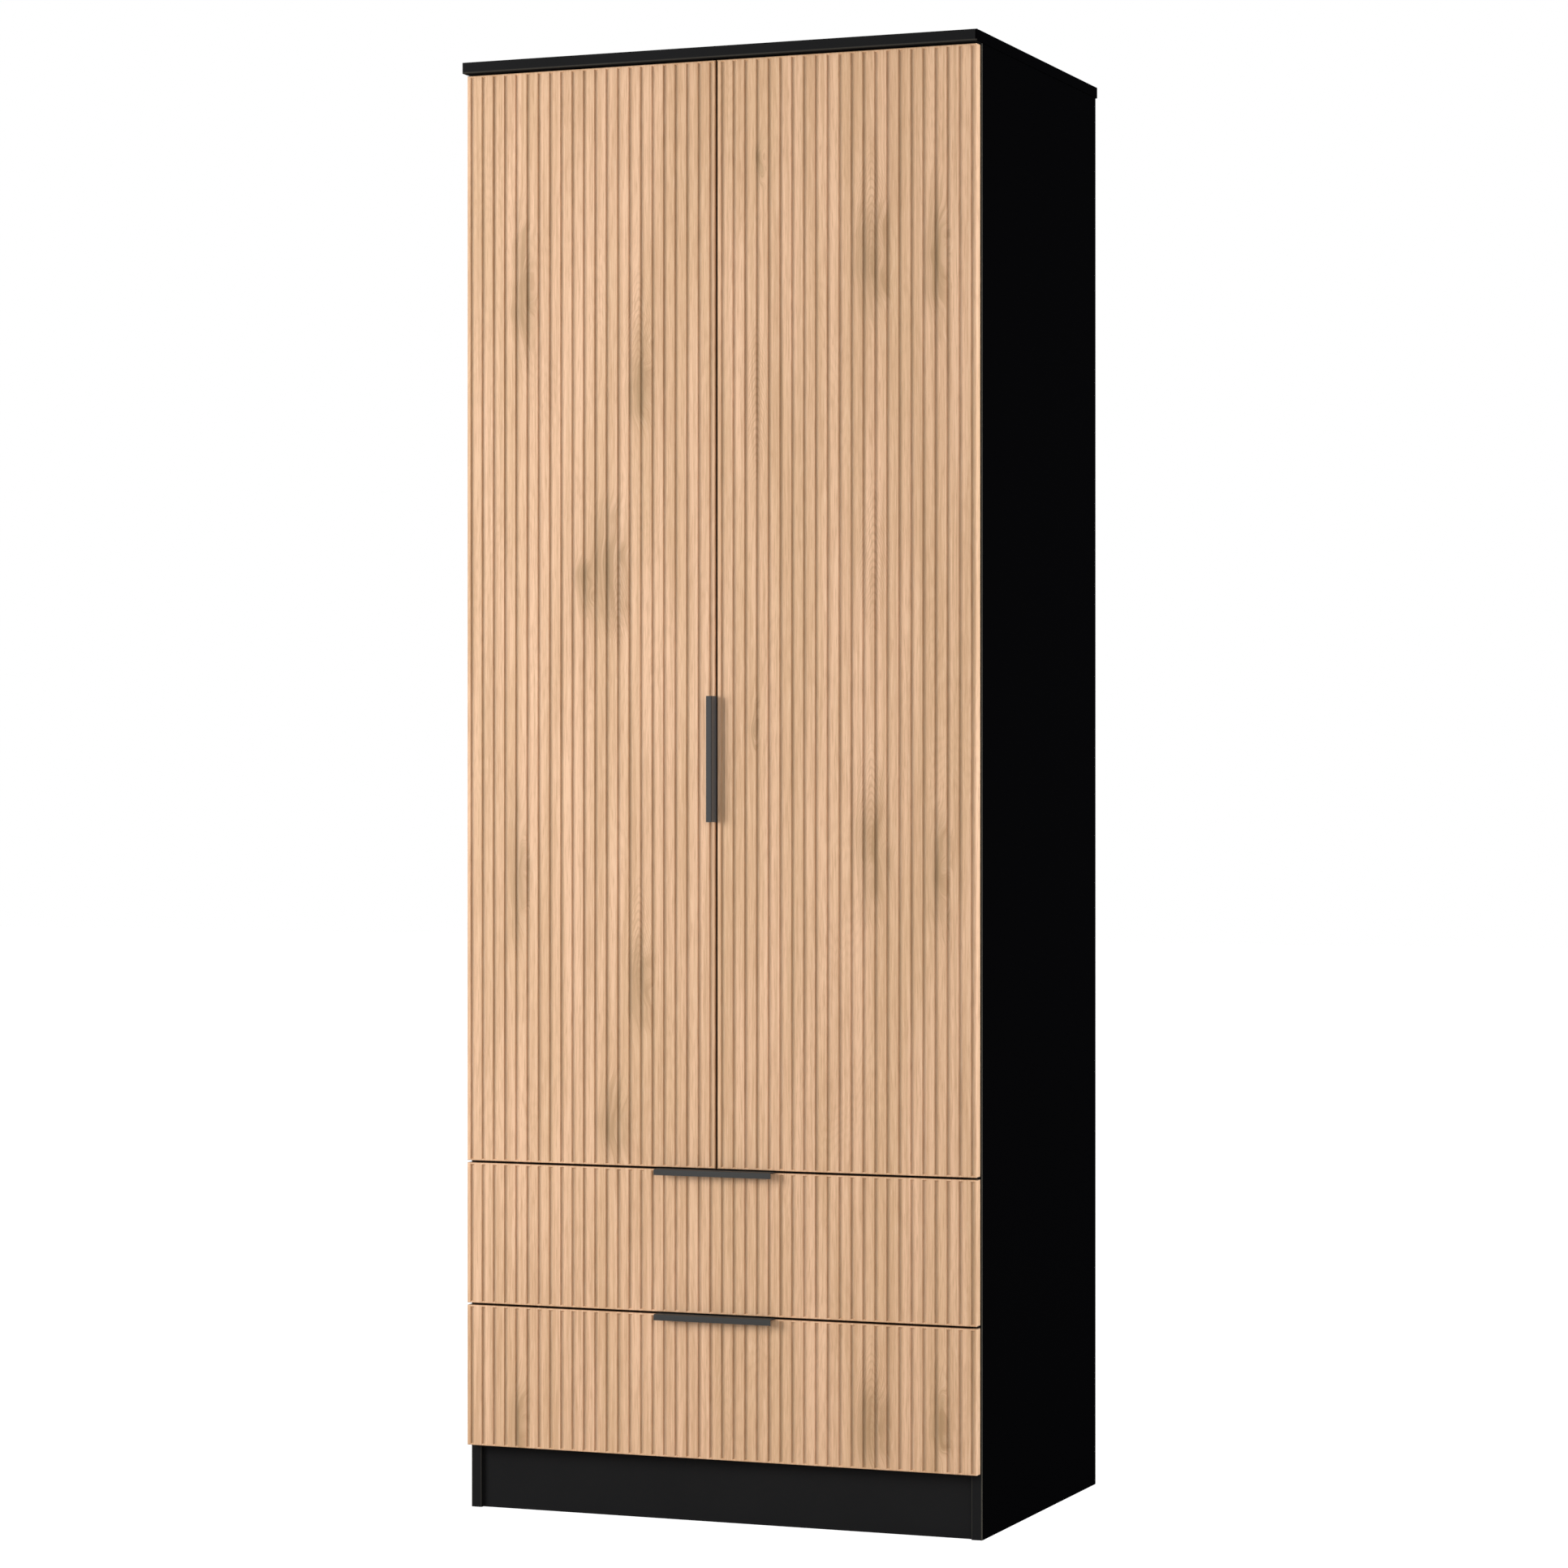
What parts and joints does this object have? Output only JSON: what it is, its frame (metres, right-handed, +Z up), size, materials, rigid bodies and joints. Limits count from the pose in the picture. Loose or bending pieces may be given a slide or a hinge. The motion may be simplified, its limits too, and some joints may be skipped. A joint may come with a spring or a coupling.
{
  "type": "wardrobe with doors",
  "caption": "Tall black wardrobe with grooved oak-effect doors over grooved drawers, lip handles, hat shelf and hanging rail.",
  "frame": {"origin": "Middle of the bounding box, on the floor", "axes": "+X to the right seen from the front, the fronts face -Y, +Z up"},
  "size_m": [0.74, 0.53, 1.97],
  "materials": {
    "black_board": "black melamine-faced particle board, satin",
    "grooved_oak": "light oak effect, fine vertical grain, satin, grooved",
    "handle_paint": "dark grey powder coat, matt",
    "drawer_board": "light grey foil on thin board",
    "hardboard": "dark lacquered hardboard",
    "drawer_hardboard": "light lacquered hardboard",
    "hinge_steel": "nickel-plated pressed steel",
    "zinc_screw": "zinc-plated steel",
    "runner_paint": "white epoxy-coated steel",
    "roller_plastic": "natural nylon",
    "rail_chrome": "chromed steel tube",
    "bracket_plastic": "black plastic",
    "dowel_wood": "plain beech"
  },
  "bodies": {
    "carcass": {"side_panel_left": "black_board", "side_panel_right": "black_board", "top_panel": "black_board", "base_panel": "black_board", "middle_panel": "black_board", "plinth_front": "black_board", "plinth_rear": "black_board", "hat_shelf": "black_board", "back_panel": "hardboard", "back_panel_nails": "zinc_screw", "shelf_pins": "zinc_screw", "rail_bracket_screws": "zinc_screw", "hinge_arm_screws": "zinc_screw", "hinge_plate_screws": "zinc_screw", "cabinet_runner_screws": "zinc_screw", "hanging_rail": "rail_chrome", "rail_brackets": "bracket_plastic", "carcass_dowels": "dowel_wood", "hinge_arms": "hinge_steel", "hinge_plates": "hinge_steel", "lower_cabinet_runner_left": "runner_paint", "lower_cabinet_runner_right": "runner_paint", "upper_cabinet_runner_left": "runner_paint", "upper_cabinet_runner_right": "runner_paint"},
    "left_door": {"left_door_panel": "grooved_oak", "left_hinge_cups": "hinge_steel", "left_hinge_pins": "hinge_steel", "left_hinge_cup_screws": "zinc_screw", "left_door_handle": "handle_paint", "left_door_handle_screws": "zinc_screw"},
    "right_door": {"right_door_panel": "grooved_oak", "right_hinge_cups": "hinge_steel", "right_hinge_pins": "hinge_steel", "right_hinge_cup_screws": "zinc_screw"},
    "lower_drawer": {"lower_drawer_runner_left": "runner_paint", "lower_drawer_runner_right": "runner_paint", "lower_drawer_front": "grooved_oak", "lower_drawer_handle": "handle_paint", "lower_drawer_handle_screws": "zinc_screw", "lower_drawer_runner_screws": "zinc_screw", "lower_drawer_side_left": "drawer_board", "lower_drawer_side_right": "drawer_board", "lower_drawer_back": "drawer_board", "lower_drawer_bottom": "drawer_hardboard", "lower_drawer_dowels": "dowel_wood"},
    "lower_cabinet_rollers": {"lower_cabinet_rollers": "roller_plastic"},
    "lower_drawer_rollers": {"lower_drawer_rollers": "roller_plastic"},
    "upper_drawer": {"upper_drawer_runner_left": "runner_paint", "upper_drawer_runner_right": "runner_paint", "upper_drawer_front": "grooved_oak", "upper_drawer_handle": "handle_paint", "upper_drawer_handle_screws": "zinc_screw", "upper_drawer_runner_screws": "zinc_screw", "upper_drawer_side_left": "drawer_board", "upper_drawer_side_right": "drawer_board", "upper_drawer_back": "drawer_board", "upper_drawer_bottom": "drawer_hardboard", "upper_drawer_dowels": "dowel_wood"},
    "upper_cabinet_rollers": {"upper_cabinet_rollers": "roller_plastic"},
    "upper_drawer_rollers": {"upper_drawer_rollers": "roller_plastic"}
  },
  "joints": [
    {"name": "left_door_hinge", "type": "hinge", "parent": "carcass", "child": "left_door", "pos_m": [-0.3595, -0.2425, 1.21375], "axis": [0, 0, -1], "range_deg": [0, 95]},
    {"name": "right_door_hinge", "type": "hinge", "parent": "carcass", "child": "right_door", "pos_m": [0.3595, -0.2425, 1.21375], "axis": [0, 0, 1], "range_deg": [0, 95]},
    {"name": "lower_drawer_slide", "type": "slide", "parent": "carcass", "child": "lower_drawer", "axis": [0, -1, 0], "range_m": [0, 0.34]},
    {"name": "lower_cabinet_roller_spin", "type": "hinge", "parent": "carcass", "child": "lower_cabinet_rollers", "pos_m": [0, -0.218, 0.1243], "axis": [1, 0, 0], "range_deg": [0, 2600]},
    {"name": "lower_drawer_roller_spin", "type": "hinge", "parent": "lower_drawer", "child": "lower_drawer_rollers", "pos_m": [0, 0.205, 0.1223], "axis": [1, 0, 0], "range_deg": [0, 2785]},
    {"name": "upper_drawer_slide", "type": "slide", "parent": "carcass", "child": "upper_drawer", "axis": [0, -1, 0], "range_m": [0, 0.34]},
    {"name": "upper_cabinet_roller_spin", "type": "hinge", "parent": "carcass", "child": "upper_cabinet_rollers", "pos_m": [0, -0.218, 0.3183], "axis": [1, 0, 0], "range_deg": [0, 2600]},
    {"name": "upper_drawer_roller_spin", "type": "hinge", "parent": "upper_drawer", "child": "upper_drawer_rollers", "pos_m": [0, 0.205, 0.3163], "axis": [1, 0, 0], "range_deg": [0, 2785]}
  ],
  "couplings": [
    {"joint": "lower_cabinet_roller_spin", "follows": "lower_drawer_slide", "rad_per_m": 133.33},
    {"joint": "lower_drawer_roller_spin", "follows": "lower_drawer_slide", "rad_per_m": 142.86},
    {"joint": "upper_cabinet_roller_spin", "follows": "upper_drawer_slide", "rad_per_m": 133.33},
    {"joint": "upper_drawer_roller_spin", "follows": "upper_drawer_slide", "rad_per_m": 142.86}
  ]
}
